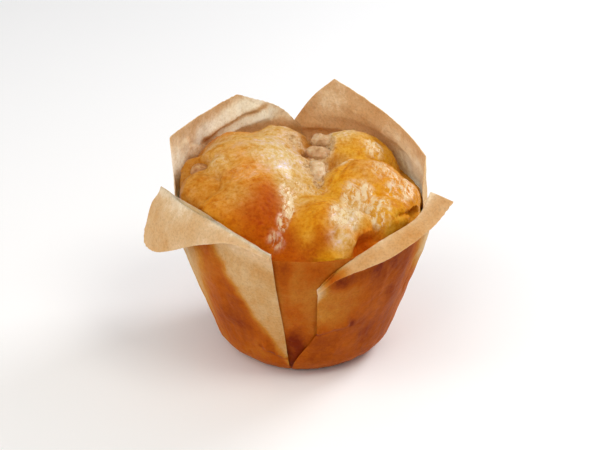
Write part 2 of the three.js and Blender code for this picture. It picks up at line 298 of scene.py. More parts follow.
petals = {
    "frontLeft": {
        "lift": 0.55, "foldRun": 1.2, "bulge": 1.4, "curl": 1.0, "sawCut": (0.0, 0.14),
        "stations": [
            (-96, (-83, 46.2, 59.8), (-80.5, 51.4, 45.2), 2),
            (-88, (-75, 44.6, 61.2), (-76.5, 52.0, 41.8), 2),
            (-78, (-63, 42.8, 62.0), (-68, 50.0, 42.4), 3),
            (-52, (-45, 42.0, 62.2), (-44, 45.8, 53.0), 3),
            (-30, (-27, 43.2, 59.4), (-28, 44.8, 56.6), 3),
            (-8.5, (-13, 43.6, 54.8), (-13.6, 44.6, 53.2), 0),
        ],
    },
    "frontRight": {
        "lift": 0.75, "foldRun": 1.0, "bulge": 0.7, "curl": 0.5, "sawCut": (0.9, 1.0),
        "pleat": {"swing": 8, "from": 4, "to": 21},
        "stations": [
            (-8.5, (6.4, 40.8, 41.2), (6.2, 41.9, 39.8), 2),
            (8, (12.8, 42.2, 47.4), (13.6, 43.8, 45.2), 2),
            (24, (20.8, 42.2, 51.2), (20.2, 45.2, 48.0), 3),
            (42, (36.5, 42.4, 56.0), (34.6, 48.2, 52.0), 3),
            (66, (54.5, 43.6, 58.8), (53.0, 50.0, 57.0), 2),
            (76, (59.5, 44.4, 62.2), (59.5, 51.0, 59.6), 1),
            (86, (62.5, 45.0, 65.4), (64.4, 52.4, 62.6), 0),
        ],
    },
    "backRight": {
        "lift": 0.5, "foldRun": 3, "bulge": 0, "curl": 0, "sawCut": (0.9, 1.0),
        "corners": (2, 3), "bows": {2: 3.4},
        "stations": [
            (72, (74, 40.8, 43.2), (77, 41.0, 47.7), 2),
            (88, (88, 41.2, 47.2), (88, 39.2, 56.2), 2),
            (98, (97, 41.4, 51.2), (98, 40.8, 64.8), 7),
            (160, (163, 42.0, 53.2), (164.5, 40.0, 78.4), 1.7),
            (170, (176, 42.8, 52.0), (176, 41.8, 70.0), 1.6),
            (179, (187, 43.6, 50.2), (186, 44.2, 58.2), 0),
        ],
    },
    "backLeft": {
        "lift": 0.25, "foldRun": 3, "bulge": 0, "curl": 0, "sawCut": (0.0, 0.45),
        "corners": (2, 3), "bows": {2: 1.0},
        "stations": [
            (170, (180, 41.8, 49.2), (181, 42.4, 58.7), 2),
            (186, (191, 42.2, 52.2), (191.5, 43.0, 66.5), 2),
            (205, (209, 42.4, 53.2), (211.5, 43.0, 73.6), 5),
            (254, (259, 42.4, 53.2), (260, 44.4, 71.0), 2),
            (268, (270, 42.4, 48.2), (267, 42.2, 55.2), 0),
        ],
    },
}

# share of fat in the paper, from 1 where it is soaked to 0 where it is dry
soak = {
    "cup": 0.66,
    "back": 0.7,
    "backTop": 0.1,
    "backHeights": (38, 52),   # from where it thins out
    "raggedness": 5,
    "front": 0.75,
    "frontDrop": 9,            # below the crease, to where it is full
    "frontLip": 0.6,           # share of the lip that it reaches
    "creaseHighlight": 0.15,            # taken off along the fold to the lip: painted highlight where the fold catches light
    "cloud": 0.08,
}

# spots with more fat (amount above 0) or less, as (place, reach, amount), and those of the inner face
# alone; some pale ones are painted sheen or light and some dark ones partly painted shade, as marked
greaseAndPaintedLightSpots = {
    "frontLeft": [
        # paler at the left edge: painted sheen of grazing light
        ((-35, -20, 45), (5, 10, 10), -0.5),
        ((-24, -34, 50), (12, 12, 7), -0.1),
        ((-8, -33, 18), (6, 8, 8), 0.14),
        # paler at the left edge: painted sheen of grazing light
        ((-39, -6, 44), (5, 12, 14), -0.75),
        ((-34, -12, 28), (5, 10, 12), -0.4),
        ((-42, -20, 52), (22, 26, 14), 0.21),
        ((-22, -28, 20), (8, 12, 16), 0.08),
    ],
    "frontRight": [
        ((8, -38, 38), (9, 8, 6), -0.2),
        ((22, -28, 14), (14, 12, 14), 0.12),
        ((8, -36, 29), (7, 8, 4), -0.3),
        ((9, -42, 46), (7, 8, 5), 0.78),
        ((28, -36, 53), (16, 14, 9), 0.19),
        ((40, -26, 58), (12, 14, 9), 0.14),
        ((30, -28, 34), (12, 12, 16), 0.08),
        # paler at the right edge, here and below: painted sheen of grazing light
        ((39, -19, 47), (4.5, 8, 12), -0.42),
        ((40, -10, 46), (5, 10, 16), -0.4),
    ],
    "backRight": [
        ((4, 42, 56), (10, 8, 3), 0.05),
        ((14, 39, 60), (9, 8, 3), 0.06),
        ((8, 40, 72), (12, 9, 8), -0.15),
        ((34, 24, 63), (9, 12, 6), -0.2),
    ],
    "backLeft": [
        ((-7, 41, 57.5), (9, 8, 2.5), 0.3),
        # paler at the left edge: painted sheen of grazing light
        ((-41, 2, 44), (6, 10, 12), -0.5),
        ((-36, 20, 55), (6, 10, 4), 0.25),
        ((-25, 32, 66), (20, 14, 9), -0.12),
        ((-40, 10, 62), (8, 9, 7), -0.42),
    ],
    "cup": [
        # darker at the low tip and left edge of the V, here and below: partly grease, partly painted shade
        ((-2.5, -31, 10), (4, 8, 14), 0.5),
        ((-5.8, -41, 46), (1.5, 8, 16), 0.15),
        ((0, -42, 49), (8, 8, 4), 0.1),
    ],
}

innerSpots = {
    "backRight": [
        # paler inner face beside the muffin: painted light that offsets its shade
        ((38, 12, 52), (7, 12, 9), -0.7),
    ],
    "backLeft": [
        ((-5, 43, 64), (8, 8, 3.5), -0.3),
    ],
}

# streaks, as (path, width, amount): dark lines of painted shade along creases, and on the inner face of the
# back left petal painted highlight bands with a painted fold shadow between them
creaseShadeStreaks = {
    "frontLeft": [
        # dark line of painted shade in the crease
        ([(-14, -29, 13.2), (-9, -30, 10.8), (-4.9, -30.1, 9)], 0.7, 0.5),
    ],
    "frontRight": [
        # dark line of painted shade in the crease
        ([(3.2, -34.1, 20.8), (9.3, -34.3, 22.6), (15.4, -32.4, 23.7)], 0.7, 0.8),
    ],
}

innerLightAndShadeBands = {
    "backLeft": [
        # painted highlight band along the fold
        ([(-34.6, 23.2, 65), (-16.9, 38.7, 69.6), (-8, 41, 71.5)], 3.2, -0.4),
        # painted fold shadow below it
        ([(-33.3, 24.9, 62.2), (-22, 34.5, 65), (-13.1, 40, 67.2)], 1.2, 0.42),
        # painted highlight patch below that
        ([(-27.8, 31, 62), (-12, 40.4, 64.8)], 2.6, -0.45),
    ],
}

# the front left petal stays dry on one side of a line
dryBand = {
    "petal": "frontLeft",
    "line": [(-29, -34, 54), (-23.8, -34.3, 42.5), (-17, -33.4, 29.1), (-9.1, -31.2, 14.6), (-4, -29, 6)],
    "towards": (0.8, 0, 0.6),
    "amount": -0.54,
}

# dents that go through all layers, as (path, depth, width)
dents = [
    ([(-33.5, -13, 30), (-32, -12, 22), (-30, -12, 14)], 1.2, 1.5),
    ([(-26, -35, 51), (-21, -38, 49.5), (-15, -40.5, 50.5)], 0.8, 2.6),
    ([(37, -19, 42), (33, -17, 30)], 0.7, 2),
    ([(-38, -14, 50), (-38, -12, 42)], 1.5, 5),
]

# folds pressed into the paper: a ridge along a path that falls off gently to one side and steeply to the
# other, as (path, height, gentle width, steep width, direction of the gentle side)
folds = {
    "frontLeft": [
        ([(-13.7, -29, 14), (-9, -30, 11.5), (-4.9, -30.1, 9.7)], 1.3, 3, 0.7, (0, 0, 1)),
        ([(-3.9, -30.1, 10), (-3.4, -28, 4)], 0.6, 1.4, 0.5, (-1, 0, 0)),
        ([(-27, -27, 40), (-24, -24, 20)], 0.5, 5, 2, (-1, 0, 0)),
        ([(-47, -9, 52), (-36, -27, 55)], -0.5, 3, 2, (1, 0, 0)),
        ([(-44, -16, 50), (-33, -32, 54)], -0.4, 3, 1.5, (1, 0, 0)),
    ],
    "frontRight": [
        ([(3.2, -34.1, 21.5), (9.3, -34.3, 23.3), (15.4, -32.4, 24.4)], 1.5, 4, 0.9, (0, 0, 1)),
        ([(20, -34, 36), (14, -32, 20), (8, -30, 8)], 0.45, 4, 2, (1, 0, 0)),
        ([(31, -26, 40), (25, -24, 24), (20, -20, 8)], 0.45, 4, 2, (1, 0, 0)),
        ([(6, -41, 39), (13, -41, 42)], 0.4, 2, 1, (0, 0, 1)),
    ],
    "backRight": [
        ([(4, 41.5, 63), (18, 36, 65), (32, 24, 62), (39, 12, 57)], -0.7, 5, 1.5, (0, 0, 1)),
        ([(12, 39, 70), (30, 26, 64)], -0.5, 4, 1.5, (0, 0, 1)),
        ([(-2, 43, 58), (12, 40, 59.5), (26, 31, 58)], -0.8, 3, 1, (0, 0, 1)),
    ],
    "backLeft": [
        ([(-34.6, 23.2, 62), (-25, 33, 65.2), (-13, 40, 67.3)], -1.4, 4.5, 1.3, (0, 0, 1)),
        ([(-28, 31, 60), (-19, 37, 61.5), (-10, 41, 63.2)], -1.4, 4, 1.3, (0, 0, 1)),
        ([(-38, 15, 63), (-39.5, 10, 57)], -0.9, 3, 1, (1, 0, 0)),
        ([(-39, 14, 67), (-38, 16, 61), (-34, 23, 56)], -0.7, 3, 1, (-1, 0, 0)),
    ],
    "cup": [
        ([(-6, -40.5, 41), (5, -40.5, 41)], 0.35, 2.5, 0.5, (0, 0, 1)),
    ],
}


def wallRadius(height):
    foot = np.maximum(1 - height / wrapper["footRise"], 0)
    cone = wrapper["wallFootRadius"] + wrapper["wallSlope"] * height
    cone = cone - (wrapper["wallFootRadius"] - wrapper["footRadius"]) * foot * foot
    return softMin(cone, wrapper["shoulderRadius"], wrapper["shoulderBlend"])


def pressedRadius(angle, height):
    press = wrapper["press"]
    near = np.exp(-((angle - press["angle"]) / press["width"])**2)
    return wallRadius(height) - press["depth"] * near * smoothStep(press["from"], press["to"], height)


def curveThrough(knots, values, places, corners=()):
    # smooth curve through the values, with a sharp turn at each corner
    values = np.asarray(values, float)
    result = np.empty((len(places), values.shape[1]))
    cuts = [0, *corners, len(knots) - 1]
    for first, last in zip(cuts, cuts[1:]):
        run, part = knots[first:last + 1], values[first:last + 1]
        slopes = np.gradient(part, run, axis=0)
        inside = (places >= run[0]) & (places <= run[-1])
        at = places[inside]
        k = np.clip(np.searchsorted(run, at, "right") - 1, 0, len(run) - 2)
        width = (run[k + 1] - run[k])[:, None]
        t = ((at - run[k]) / width[:, 0])[:, None]
        result[inside] = (
            (2 * t**3 - 3 * t**2 + 1) * part[k] + (t**3 - 2 * t**2 + t) * width * slopes[k]
            + (3 * t**2 - 2 * t**3) * part[k + 1] + (t**3 - t**2) * width * slopes[k + 1]
        )
    return result


def wallDents(points):
    # soft dents that every layer shares, so that the layers stay apart
    broad = noiseAt(points, 14, shift=3.1)
    sharp = 1 - np.abs(noiseAt(points, 9, shift=8.4)) * 2.2
    turn = np.arctan2(points[..., 0], -points[..., 1])
    upright = np.stack([turn * 12, turn * 0, points[..., 2] / 22], -1)
    creased = 1 - np.abs(noiseAt(upright, 1, shift=6.6)) * 2
    depth = wrapper["crumple"] * (0.9 * broad + 0.6 * np.clip(sharp, -0.4, 1) + 0.5 * creased)
    for path, dentDepth, width in dents:
        depth -= dentDepth * np.exp(-(nearPath(points, path)[0] / width)**2)
    return depth


def foldHeights(name, points):
    height = np.zeros(points.shape[:2])
    for path, rise, gentle, steep, towards in folds[name]:
        away, side, share = nearPath(points, path, towards)
        width = np.where(side > 0, gentle, steep)
        ends = smoothStep(0, 0.15, share) * smoothStep(0, 0.15, 1 - share)
        height += rise * np.exp(-(away / width)**1.5) * ends
    return height


def petalGrid(name, petal):
    feet, creases, edges, spans = zip(*petal["stations"])
    spans = np.array(spans[:-1], float)
    knots = np.concatenate([[0], np.cumsum(spans)])
    columnCount = int(knots[-1] * wrapper["spanWidth"] / wrapper["columnWidth"]) + 1
    places = np.linspace(0, knots[-1], columnCount)
    foot = curveThrough(knots, [[angle] for angle in feet], places)[:, 0]
    crease = curveThrough(knots, creases, places)
    edgePoints = [polar(*map(np.array, point)) for point in edges]
    edge = curveThrough(knots, edgePoints, places, petal.get("corners", ()))
    outward = edge * [1, 1, 0]
    outward /= np.linalg.norm(outward, axis=1, keepdims=True)
    for index, bow in petal.get("bows", {}).items():
        share = (places - knots[index]) / spans[index]
        inside = (share >= 0) & (share <= 1)
        edge[inside] += outward[inside] * (bow * np.sin(np.pi * share[inside]))[:, None]

    creaseAngle, creaseRadius, creaseHeight = crease.T
    outset = creaseRadius - wallRadius(creaseHeight)
    pleat = petal.get("pleat")
    pleatShare = np.clip(1 - places / spans[0], 0, 1)

    def wallPoint(height):
        rise = (height - wrapper["petalFoot"]) / (creaseHeight - wrapper["petalFoot"])
        swing = 0
        if pleat:
            opened = smoothStep(pleat["from"], pleat["to"], height)
            closed = np.maximum((height - pleat["to"]) / (creaseHeight - pleat["to"]), 0)
            swing = pleatShare * pleat["swing"] * opened * (1 - closed)
        radius = wallRadius(height) + petal["lift"] + outset * rise**4
        return polar(foot + (creaseAngle - foot) * rise + swing, radius, height)

    wallTop = creaseHeight - petal["foldRun"]
    creasePoint = polar(creaseAngle, creaseRadius, creaseHeight)
    lip = edge - creasePoint
    lipLength = np.linalg.norm(lip, axis=1, keepdims=True)
    lipStart = creasePoint + lip * np.minimum(petal["foldRun"] / lipLength, wrapper["foldShare"])
    arch = petal["bulge"] * np.minimum(lipLength / wrapper["archedFrom"], 1)
    rows = []
    for share in np.linspace(0, 1, wrapper["wallRows"], endpoint=False):
        rows.append(wallPoint(wrapper["petalFoot"] + (wallTop - wrapper["petalFoot"]) * share**1.25))
    foldFrom = wallPoint(wallTop)
    for share in np.linspace(0, 1, wrapper["foldRows"], endpoint=False):
        rows.append((1 - share)**2 * foldFrom + 2 * share * (1 - share) * creasePoint + share**2 * lipStart)
    for share in np.linspace(0, 1, wrapper["lipRows"]):
        swell = arch * math.sin(math.pi * share) * smoothStep(0, 0.3, share) + petal["curl"] * share**7
        rows.append(lipStart + (edge - lipStart) * share + outward * swell)
    points = np.array(rows)
    rowKind = np.concatenate([
        np.zeros(wrapper["wallRows"]),
        np.linspace(0, 1, wrapper["foldRows"], endpoint=False),
        1 + np.linspace(0, 1, wrapper["lipRows"]),
    ])
    lipShare = np.repeat(rowKind[:, None], columnCount, 1)
    below = creaseHeight - points[..., 2]

    # dents, which go the same way in a wall and in the lip turned down over it, and folds
    normal = gridNormals(points)
    facing = np.clip(3 * (normal * outward).sum(-1), -1, 1)
    points = points + normal * (facing * wallDents(points) + foldHeights(name, points))[..., None]

    # the fine teeth of the sheet's saw-cut edges
    along = np.concatenate([[0], np.cumsum(np.linalg.norm(np.diff(points[-1], axis=0), axis=1))])
    tooth = np.abs((along / wrapper["toothPitch"]) % 1 - 0.5) * 2 - 0.5
    share = along / along[-1]
    low, high = petal["sawCut"]
    tooth = tooth * np.where((share >= low) & (share <= high), 1.0, 0.25)
    outline = points[-1] - points[-3]
    outline /= np.linalg.norm(outline, axis=1, keepdims=True)
    for row, part in ((-1, 1.0), (-2, 0.6), (-3, 0.25)):
        points[row] += outline * (tooth * wrapper["toothDepth"] * part)[:, None]
    return points, lipShare, below


def cupGrid():
    heights = np.concatenate([
        np.linspace(0.35, wrapper["footRise"], wrapper["footRows"]),
        np.linspace(wrapper["footRise"] + 1, wrapper["cupHeight"], wrapper["cupRows"]),
    ])
    turns = np.linspace(0, 360, wrapper["cupColumns"], endpoint=False)
    slant = wrapper["cupRimDrop"] * (1 + np.cos(np.radians(turns + 180))) / 2
    rows = []
    for height in heights:
        level = height - slant * height / wrapper["cupHeight"]
        rows.append(polar(turns, pressedRadius(turns, level), level))
    points = np.array(rows)
    relief = wallDents(points) + foldHeights("cup", points)
    return points + gridNormals(points, wrap=True) * relief[..., None]


def sheetMesh(points, thickness, wrap=False):
    # both faces of a thin sheet and its rims, from the grid on its middle
    rowCount, columnCount = points.shape[:2]
    normal = gridNormals(points, wrap) * thickness / 2
    vertices = np.concatenate([(points + normal).reshape(-1, 3), (points - normal).reshape(-1, 3)])
    half = rowCount * columnCount
    ends = columnCount if wrap else columnCount - 1
    faces = []
    for r in range(rowCount - 1):
        for c in range(ends):
            d = (c + 1) % columnCount
            a, b = r * columnCount + c, r * columnCount + d
            e, f = (r + 1) * columnCount + d, (r + 1) * columnCount + c
            faces += [(a, b, e, f), (a + half, f + half, e + half, b + half)]
    top = (rowCount - 1) * columnCount
    for c in range(ends):
        d = (c + 1) % columnCount
        faces += [(c, c + half, d + half, d), (top + c, top + d, top + d + half, top + c + half)]
    if not wrap:
        for r in range(rowCount - 1):
            a, b = r * columnCount, (r + 1) * columnCount
            faces.append((a, b, b + half, a + half))
            a, b = a + columnCount - 1, b + columnCount - 1
            faces.append((a, a + half, b + half, b))
    return vertices, faces


def spotsAndStreaks(points, spots, streaks):
    total = np.zeros(points.shape[:2])
    for place, reach, amount in spots:
        total += amount * nearness(points, place, reach)
    for path, width, amount in streaks:
        total += amount * np.exp(-(nearPath(points, path)[0] / width)**2)
    return total


def greaseAndLightAt(name, points, lipShare, below):
    # the share of fat in the outer face, then in the inner one, with painted highlights, sheen and crease
    # shade added in
    if name == "cup":
        share = np.full(points.shape[:2], soak["cup"])
    elif name.startswith("back"):
        ragged = points[..., 2] + soak["raggedness"] * noiseAt(points, 11, 2, 1.2)
        share = soak["back"] - (soak["back"] - soak["backTop"]) * smoothStep(*soak["backHeights"], ragged)
    else:
        share = soak["front"] * smoothStep(0, soak["frontDrop"], below)
        share *= 1 - smoothStep(0, soak["frontLip"], lipShare)
        # painted highlight: paler along the fold where the lip turns over
        share -= soak["creaseHighlight"] * np.exp(-((lipShare - 0.9) / 0.35)**2)
    share = share + soak["cloud"] * noiseAt(points, 9, 2, 5.5)
    share += spotsAndStreaks(points, greaseAndPaintedLightSpots.get(name, ()), creaseShadeStreaks.get(name, ()))
    if name == dryBand["petal"]:
        side = nearPath(points, dryBand["line"], dryBand["towards"])[1] + 0.8 * noiseAt(points, 4, 2, 7.1)
        wallOnly = smoothStep(0.5, 7, below) * (1 - smoothStep(0, 0.2, lipShare))
        share += dryBand["amount"] * smoothStep(-2, 2, side) * wallOnly
    inner = share + spotsAndStreaks(points, innerSpots.get(name, ()), innerLightAndShadeBands.get(name, ()))
    return np.clip([share, inner], wrapper["palestShare"], 1)


def makeWrapper():
    vertices, faces, greaseAndPaintedLight = [], [], []
    count = 0
    sheets = [("cup", cupGrid(), None, None)]
    sheets += [(name, *petalGrid(name, petal)) for name, petal in petals.items()]
    for name, points, lipShare, below in sheets:
        part, partFaces = sheetMesh(points, wrapper["thickness"], wrap=name == "cup")
        faces += [tuple(i + count for i in face) for face in partFaces]
        vertices.append(part)
        greaseAndPaintedLight.append(greaseAndLightAt(name, points, lipShare, below).ravel())
        count += len(part)
    # the flat floor of the cup, in two layers
    sides = wrapper["cupColumns"]
    turns = np.linspace(0, 360, sides, endpoint=False)
    rim = polar(turns, wrapper["footRadius"] - wrapper["floorInset"], 0.0)
    for height in (0.0, wrapper["thickness"]):
        vertices.append(np.concatenate([[[0, 0, height]], rim + [0, 0, height]]))
    low, high = count, count + sides + 1
    for i in range(sides):
        a, b = 1 + i, 1 + (i + 1) % sides
        faces += [(low, low + b, low + a), (high, high + a, high + b)]
        faces.append((low + a, low + b, high + b, high + a))
    greaseAndPaintedLight.append(np.ones(2 * (sides + 1)))
    return meshObject("wrapper", np.concatenate(vertices), faces, {"greaseAndPaintedLight": np.concatenate(greaseAndPaintedLight)})


paperWrapper = makeWrapper()
print("wrapper made:", len(paperWrapper.data.polygons), "faces")


# muffin: a dome of lobes that swell over the paper, with a torn crater on top

muffin = {
    "inset": 0.45,         # from the middle of the wall to the crust
    "floor": 0.5,
    "shoulder": 51,
    "eyeHeight": 31,       # of the point that sees the whole surface
    "bodyTop": 46,
    "columns": 480,
    "bodyRows": 14,
    "domeRows": 150,
    "coreBlend": 4.5,
    "rimBlend": 2.5,
    "wetDepth": 0.45,      # of the deepest dried runs
    "reach": 18,           # first guess of the way from the eye to the crust
    "searchSteps": 70,
    "crumble": 0.9,        # depth of the torn crumb
    "domeFrom": (46, 52),
    "plainTone": 0.06,     # weight of the gold that shows where no tone is near
    "paleShare": 0.5,
    "core": ((-1, 1, 43.2), (39.5, 39.5, 18)),
}

# lobes and hollows, as (centre, size, blend)
lobes = [
    ((-17.5, 3, 51.2), (21.5, 25, 19.5), 5),  # the big lobe on the left
    ((-17, -17, 50.2), (18.5, 20.5, 17), 5),  # its browned front
    ((-9, 21, 50.2), (15, 15, 17.2), 4),  # its back
    ((-23.5, 14.5, 52.2), (13.2, 13.5, 16), 3),  # its back, on the left
    ((-35.5, 4.5, 55.7), (5.5, 9, 8), 2),  # left edge, behind the small hollow
    ((16, 18, 51.2), (16.5, 14.5, 16), 3),  # back right
    ((20, -6, 50.2), (17, 16.5, 17.5), 3),  # right
    ((6, -25, 49.2), (13.5, 15, 14), 4),  # front
    ((16.5, -29, 55.7), (5.5, 6, 6.5), 2.5),  # drop of batter above the hollow
    ((12, -36, 53.2), (4.5, 4.5, 8), 2.5),  # run of batter at the front
    ((27, -22, 54.2), (8, 8.5, 8.5), 2.5),  # front right
    ((33, -10, 54.2), (5.5, 10, 8), 3),  # right edge
    ((-33, -9, 56.2), (8, 9.5, 8.5), 2.5),  # left edge
    ((-27, -26, 55.7), (9, 8.5, 9), 3),  # left edge, towards the front
    ((-27, -4.5, 65), (3.4, 2.6, 3.4), 1.5),  # small lump beside the left hollow
]

hollows = [
    ((4, 25, 68.7), (4.4, 7, 5), 1.5),  # crater, from its back
    ((4.5, 15.5, 68.2), (6, 8.5, 7.5), 0.8),
    ((5, 5.5, 67.2), (5, 8, 7.5), 0.8),
    ((5.2, -4, 66.2), (2.2, 6, 5.5), 0.8),  # to its narrow front
    ((0.6, 12.5, 64.5), (1.5, 2.6, 4.5), 0.5),  # hole at its left
    ((10.2, 6, 65), (1.5, 4.5, 4.5), 0.5),  # and at its right
    ((20.5, -36, 52.3), (4.8, 5, 5.5), 1),  # under the drop
    ((36, -19, 54.7), (5, 5, 2), 1),  # crack at the right edge
    ((-35.5, 0.5, 65.7), (5, 4.5, 4.5), 1.5),  # with fruit, at the left edge
]

# thin cracks and folds of the crust, as (path, width, depth)
cracks = [
    ([(-27.7, -9.5, 65.8), (-27.2, -13, 65), (-27.9, -17, 64)], 0.9, 1.1),
    ([(-25, -25, 65.2), (-28.5, -24.5, 64.2), (-32, -25, 61.9), (-34, -24, 59.5)], 1.0, 1.3),
    ([(29.9, -26.7, 59.6), (32.6, -24.1, 58.8), (35, -20.5, 58)], 0.8, 1.3),
    ([(11.9, -6.5, 65.6), (15.5, -1, 66.8), (22, 2.5, 66.4)], 0.8, 0.5),
    ([(21, 8, 64.5), (25, 9, 63), (31, 10, 60)], 1.2, 0.8),
]

# places where the glaze dried in fine runs down the slope, as (place, reach, depth)
wrinkles = [
    ((-5, -18, 62.8), (3.4, 7, 6), 0.36),
    ((-4.6, -25.5, 61), (2.4, 5, 4), 0.38),
    ((-6.6, -30, 59), (2.2, 4, 3.4), 0.36),
    ((-8.5, -35, 55.5), (3, 3, 4), 0.26),
    ((-7, -15, 63.3), (3.5, 4.5, 4), 0.15),
    ((1, -11, 61), (8, 4.5, 4), 0.24),
    ((13, -29, 61), (5.5, 8, 7), 0.45),
    ((11, -36, 56), (3, 3, 4), 0.35),
    ((17.5, -18, 62.5), (6, 7, 6), 0.45),
    ((24, -24, 59), (5, 7, 6), 0.42),
    ((31, -12, 62), (6, 8, 5), 0.33),
    ((25, -7, 65), (6, 6, 5), 0.25),
    ((24, 13.5, 64.5), (5, 5, 5), 0.3),
    ((13, 1, 66), (5, 3, 4), 0.3),
    ((-19, -12, 68), (8, 5, 4), 0.14),
    ((-27, -4.5, 67.5), (4, 3, 3), 0.2),
    ((-29, 9, 65.5), (5, 5, 3), 0.16),
]

# tones of the crust, from the palest to the darkest
tones = {
    # white paints a highlight
    "white": "#F6E8CC",
    "dried": "#EAD6B0",
    "cream": "#DCC490",
    "rose": "#DCB88E",
    "straw": "#D0A860",
    "ochre": "#B6782C",
    "gold": "#D69A28",
    "yellow": "#DC980A",
    "tan": "#C88834",
    "amber": "#D08004",
    "orange": "#D6881C",
    # rust paints the lit orange of a shaded hollow
    "rust": "#F07410",
    "caramel": "#BC5600",
    "brown": "#A03C00",
}

# as (place, reach, tone, amount)
toneSpots = [
    ((-8, 3, 69), 9, "cream", 1.2),
    ((-7, 0, 68), 6, "dried", 0.8),
    ((-3, 15, 67), 6, "rose", 1.2),
    ((0, 5, 65), 4, "rose", 0.8),
    ((0.4, 12, 62), 2.8, "ochre", 3.0),
    ((9.8, 5.5, 61.5), 3, "ochre", 2.0),
    ((1.5, 20, 62), 3.5, "ochre", 2.0),
    # painted highlight along the right rim of the crater
    ((12.5, 5.5, 64), 2.5, "cream", 0.9),
    # darker caramel and amber at the back-left edge where it meets the paper, here, below and at (-22, 19,
    # 68): partly browned crust, partly painted shade
    ((-28, 18, 66), 6, "caramel", 0.6),
    ((-22, 27, 64), 6, "amber", 1.4),
    ((-35, 12, 62), 5, "ochre", 1.4),
    ((-38, 4, 60), 5, "ochre", 2.0),
    ((-36, -2, 61), 4, "ochre", 1.6),
    ((-22, 19, 68), 4.5, "amber", 1.6),
    ((-13, 9, 70), 10, "straw", 0.9),
    ((-2, -8, 62), 7, "straw", 0.8),
    ((-21, 1, 70), 9, "orange", 0.5),
    ((-26.5, -4.4, 67.5), 4, "straw", 1.6),
    ((-26, 9, 67), 6, "straw", 0.8),
    # painted highlight: a white spot of glaze shine on the big lobe
    ((-5.6, -6.4, 65.8), 2.3, "white", 4.0),
    ((-28, -24, 65), 6, "amber", 0.9),
    ((-30, -20, 65), 9, "tan", 0.6),
    ((-34, -12, 63), 8, "tan", 0.9),
    ((-21, -23, 66), 7, "tan", 0.7),
    ((-22, -24, 66), 5, "straw", 0.8),
    ((-18.5, -12, 68), 6, "orange", 0.8),
    ((-12.5, -23, 66), 5.5, "caramel", 0.9),
    ((-15, -32, 60), 8, "caramel", 1.0),
    ((-13, -38, 53), 7, "caramel", 0.7),
    ((-23, -33, 58), 6, "amber", 0.8),
    ((-4, -21, 62), 5, "straw", 0.7),
    ((3, -31, 61), 7, "amber", 0.7),
    ((3, -28, 62), 5, "gold", 0.5),
    ((6.5, -38.5, 57), 3.2, "brown", 1.1),
    ((3.5, -39.5, 54), 3.0, "brown", 0.8),
    ((-4, -35, 56), 3.0, "brown", 1.2),
    ((-11.5, -26, 65), 4.2, "brown", 1.1),
    ((-12, -32, 61), 4.5, "brown", 1.0),
    ((-17, -31, 61), 4.0, "brown", 0.8),
    ((-3, -41, 51), 7, "caramel", 0.7),
    ((9, -40.5, 51.5), 4.5, "yellow", 1.3),
    ((0, -36, 57.5), 3, "gold", 0.8),
    # brown at the front foot where the crust meets the paper, here and below: painted shade
    ((-6, -42, 48), 5, "brown", 0.9),
    ((3, -42, 47.5), 4, "brown", 0.8),
    # brighter orange painted into the hollow under the drop, here and below, to offset its shade: painted
    # light
    ((20.5, -32, 53), 3.1, "rust", 2.8),
    ((17, -35, 51), 4, "rust", 2.0),
    ((22.5, -32, 52.5), 1.4, "yellow", 3.0),
    ((7, -14, 61), 6, "gold", 0.9),
    ((13, -13, 64), 6, "yellow", 0.9),
    ((19, -9, 67), 7, "orange", 0.5),
    ((19, -9, 67), 5, "straw", 0.4),
    ((15, -20, 60), 4.5, "straw", 0.8),
    ((14, -30, 61), 4.5, "straw", 1.1),
    # pale spots on the drop and the run below it, here and below: painted highlights
    ((13.5, -30, 61.5), 3.0, "dried", 1.6),
    ((12, -37.5, 57), 2.4, "dried", 2.0),
    ((14, -39, 53), 4.5, "yellow", 1.2),
    ((13, -39, 54), 3.5, "straw", 0.8),
    ((26, -29, 57), 6, "gold", 1.4),
    ((33, -19, 60), 5, "amber", 0.7),
    ((31, -11, 63), 6, "orange", 0.5),
    ((27, -17, 61), 6, "yellow", 0.8),
    ((20, 14, 66), 9, "gold", 0.9),
    ((14, 20, 67), 5, "cream", 0.9),
    ((-15, 24, 67), 10, "straw", 0.6),
]

# where the crust tore open and shows the crumb, as (place, reach, amount), and the holes in it
crater = [
    ((4.6, 15, 64), (6.6, 9, 6), 1.0),
    ((4.6, 4, 63), (5.0, 8, 6), 1.0),
    ((5, -5, 61.5), (1.8, 4.5, 3), 1.0),
    ((-3, 17, 66), (5, 8, 4), 0.56),
    ((0, 7, 65), (3, 7, 3), 0.55),
]
craterHoles = [
    ((0.4, 12, 62), (2.6, 4, 3.6)),
    ((9.8, 5.5, 61.5), (1.8, 4.5, 2.6)),
    ((1.5, 20, 62), (3, 5, 3)),
    ((5.4, -5.5, 60), (1.2, 1.8, 1.6)),
]


# relief of the crust, as (height, size, octaves, shift)
reliefLayers = [
    (0.6, 10, 1, 1.3),
    (0.45, 4.5, 2, 2.6),
    (0.2, 1.9, 2, 6.1),
]


def ellipsoidDistance(points, centre, size):
    size = np.array(size, float)
    scaled = (points - np.array(centre)) / size
    length = np.linalg.norm(scaled, axis=-1)
    slope = np.linalg.norm(scaled / size, axis=-1)
    return np.where(slope > 1e-9, length * (length - 1) / np.maximum(slope, 1e-9), -size.min())


